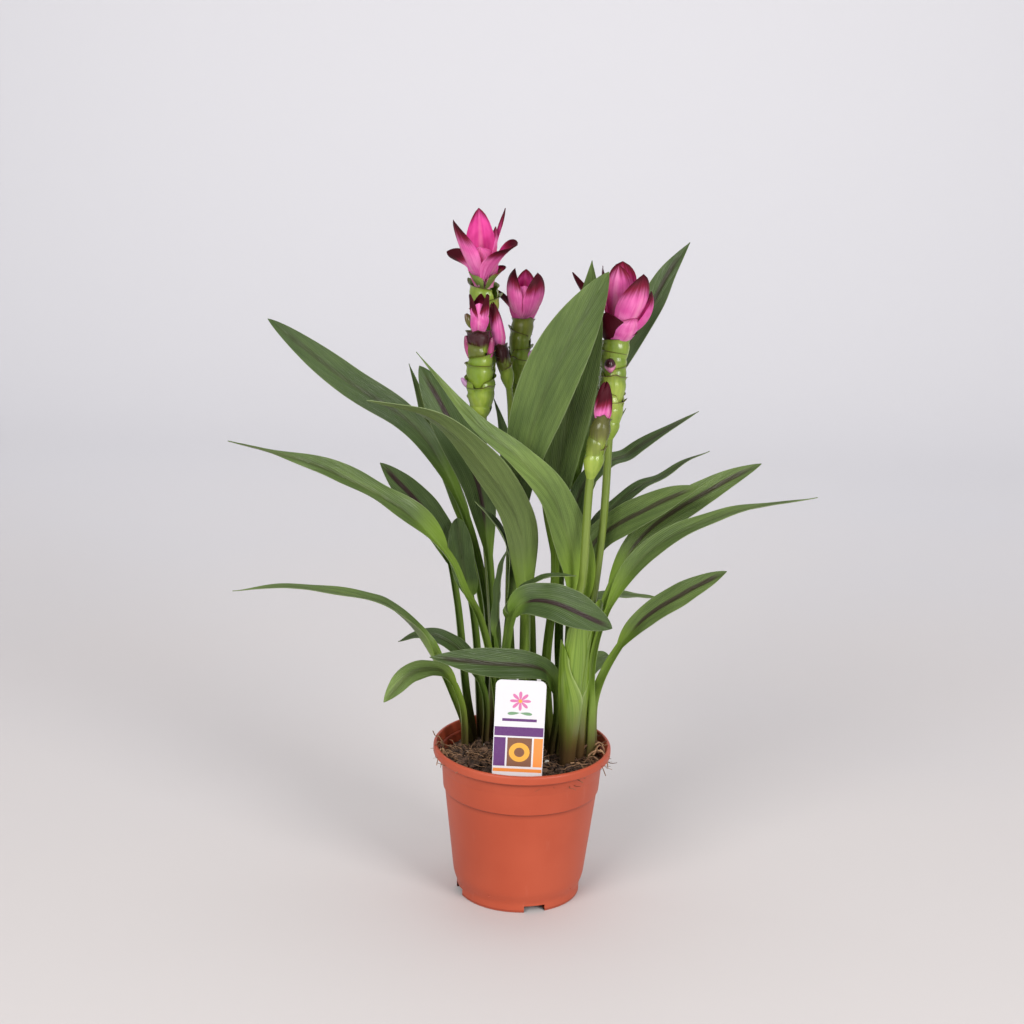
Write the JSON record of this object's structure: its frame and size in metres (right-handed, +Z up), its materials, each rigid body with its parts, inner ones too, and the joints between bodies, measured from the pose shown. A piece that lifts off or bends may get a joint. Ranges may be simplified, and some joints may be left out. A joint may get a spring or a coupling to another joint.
{
  "type": "potted siam tulip",
  "caption": "Potted siam tulip: arching ribbed leaves and upright green spikes topped by pink bracts, in a round nursery pot with a stick-in label.",
  "frame": {"origin": "middle of the pot's underside, on the plane it rests on", "axes": "+Z up, -Y to the front, where the label stands, +X to the right seen from the front"},
  "size_m": [0.4648, 0.1875, 0.5761],
  "materials": {
    "pot": "satin",
    "soil": "matte",
    "label": "satin",
    "rhizome": "matte",
    "leaf": "satin",
    "flower_stem": "satin",
    "bracts": "satin",
    "shoot": "satin"
  },
  "bodies": {
    "root": {"flower_bud_bracts": "bracts", "flower_bud_stem": "flower_stem", "flower_front_bracts": "bracts", "flower_front_stem": "flower_stem", "flower_middle_bracts": "bracts", "flower_middle_stem": "flower_stem", "flower_right_bracts": "bracts", "flower_right_stem": "flower_stem", "flower_slim_bracts": "bracts", "flower_slim_stem": "flower_stem", "flower_tall_bracts": "bracts", "flower_tall_stem": "flower_stem", "label": "label", "leaf_back_level": "leaf", "leaf_back_short": "leaf", "leaf_centre_great": "leaf", "leaf_centre_second": "leaf", "leaf_centre_short": "leaf", "leaf_front_arching": "leaf", "leaf_front_folded": "leaf", "leaf_front_level": "leaf", "leaf_front_light": "leaf", "leaf_high_ribbed": "leaf", "leaf_high_sliver": "leaf", "leaf_inner_crescent": "leaf", "leaf_inner_dark": "leaf", "leaf_inner_thin": "leaf", "leaf_left_dark": "leaf", "leaf_left_high": "leaf", "leaf_left_low": "leaf", "leaf_left_ribbed": "leaf", "leaf_left_round": "leaf", "leaf_left_short": "leaf", "leaf_left_waved": "leaf", "leaf_right_dark": "leaf", "leaf_right_high": "leaf", "leaf_right_long": "leaf", "leaf_right_low": "leaf", "leaf_right_ribbed": "leaf", "leaf_right_sliver": "leaf", "leaf_right_thin": "leaf", "leaf_right_waved": "leaf", "pot": "pot", "rhizome_left": "rhizome", "rhizome_middle": "rhizome", "rhizome_right": "rhizome", "soil": "soil", "young_shoot": "shoot"}
  },
  "joints": []
}
